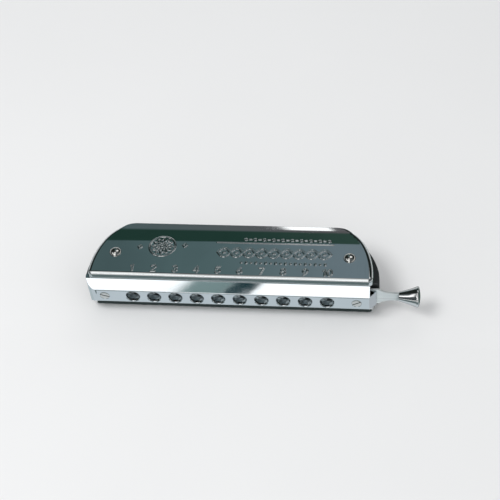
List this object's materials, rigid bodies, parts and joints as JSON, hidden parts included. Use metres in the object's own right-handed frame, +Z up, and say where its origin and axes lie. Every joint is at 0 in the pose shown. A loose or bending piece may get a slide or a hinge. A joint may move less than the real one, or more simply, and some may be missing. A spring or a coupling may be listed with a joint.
{
  "type": "chromatic harmonica",
  "caption": "Slim slide chromatic harmonica with polished covers, a sloped mouthpiece with round holes and a sprung slide button at one end.",
  "frame": {"origin": "middle of the lower cover's flat outer face, which the instrument rests on", "axes": "+X along the row of holes towards the slide button, -Y towards the player's mouth, +Z up through the upper cover"},
  "size_m": [0.1464, 0.0353, 0.0235],
  "materials": {
    "cover_chrome": "polished chrome plate over stamped brass sheet, fine wiping scratches",
    "mouthpiece_chrome": "polished chrome plate, slightly worn at the hole rims",
    "button_chrome": "turned and chrome plated",
    "slide_steel": "ground stainless strip, lengthwise grain",
    "bolt_nickel": "nickel plated steel fasteners",
    "spring_steel": "drawn spring wire",
    "guide_brass": "pressed brass sheet",
    "plate_brass": "milled brass plate",
    "reed_brass": "ground phosphor bronze strip, filed at the tips",
    "rivet_brass": "set brass rivets",
    "windsaver_film": "thin soft plastic film",
    "comb_plastic": "black moulded plastic with a satin skin",
    "bumper_rubber": "soft black sleeve"
  },
  "bodies": {
    "instrument": {"comb": "comb_plastic", "cover_bolts": "bolt_nickel", "cover_nuts": "bolt_nickel", "lower_blow_reed_01": "reed_brass", "lower_blow_reed_02": "reed_brass", "lower_blow_reed_03": "reed_brass", "lower_blow_reed_04": "reed_brass", "lower_blow_reed_05": "reed_brass", "lower_blow_reed_06": "reed_brass", "lower_blow_reed_07": "reed_brass", "lower_blow_reed_08": "reed_brass", "lower_blow_reed_09": "reed_brass", "lower_blow_reed_10": "reed_brass", "lower_cover": "cover_chrome", "lower_draw_reed_01": "reed_brass", "lower_draw_reed_02": "reed_brass", "lower_draw_reed_03": "reed_brass", "lower_draw_reed_04": "reed_brass", "lower_draw_reed_05": "reed_brass", "lower_draw_reed_06": "reed_brass", "lower_draw_reed_07": "reed_brass", "lower_draw_reed_08": "reed_brass", "lower_draw_reed_09": "reed_brass", "lower_draw_reed_10": "reed_brass", "lower_reed_plate": "plate_brass", "mouthpiece": "mouthpiece_chrome", "mouthpiece_screws": "bolt_nickel", "reed_plate_screws": "bolt_nickel", "reed_rivets": "rivet_brass", "slide_back_plate": "guide_brass", "slide_bumpers": "bumper_rubber", "slide_housing": "guide_brass", "slide_spring": "spring_steel", "spring_post": "slide_steel", "upper_blow_reed_01": "reed_brass", "upper_blow_reed_02": "reed_brass", "upper_blow_reed_03": "reed_brass", "upper_blow_reed_04": "reed_brass", "upper_blow_reed_05": "reed_brass", "upper_blow_reed_06": "reed_brass", "upper_blow_reed_07": "reed_brass", "upper_blow_reed_08": "reed_brass", "upper_blow_reed_09": "reed_brass", "upper_blow_reed_10": "reed_brass", "upper_cover": "cover_chrome", "upper_draw_reed_01": "reed_brass", "upper_draw_reed_02": "reed_brass", "upper_draw_reed_03": "reed_brass", "upper_draw_reed_04": "reed_brass", "upper_draw_reed_05": "reed_brass", "upper_draw_reed_06": "reed_brass", "upper_draw_reed_07": "reed_brass", "upper_draw_reed_08": "reed_brass", "upper_draw_reed_09": "reed_brass", "upper_draw_reed_10": "reed_brass", "upper_reed_plate": "plate_brass", "windsavers": "windsaver_film"},
    "slide": {"slide": "slide_steel", "slide_button": "button_chrome", "button_pin": "slide_steel"}
  },
  "joints": [
    {"name": "slide_push", "type": "slide", "parent": "instrument", "child": "slide", "axis": [-1, 0, 0], "range_m": [0, 0.00475], "stiffness_N_per_m": 180, "springref_m": -0.006, "deforming": ["slide_spring"]}
  ]
}
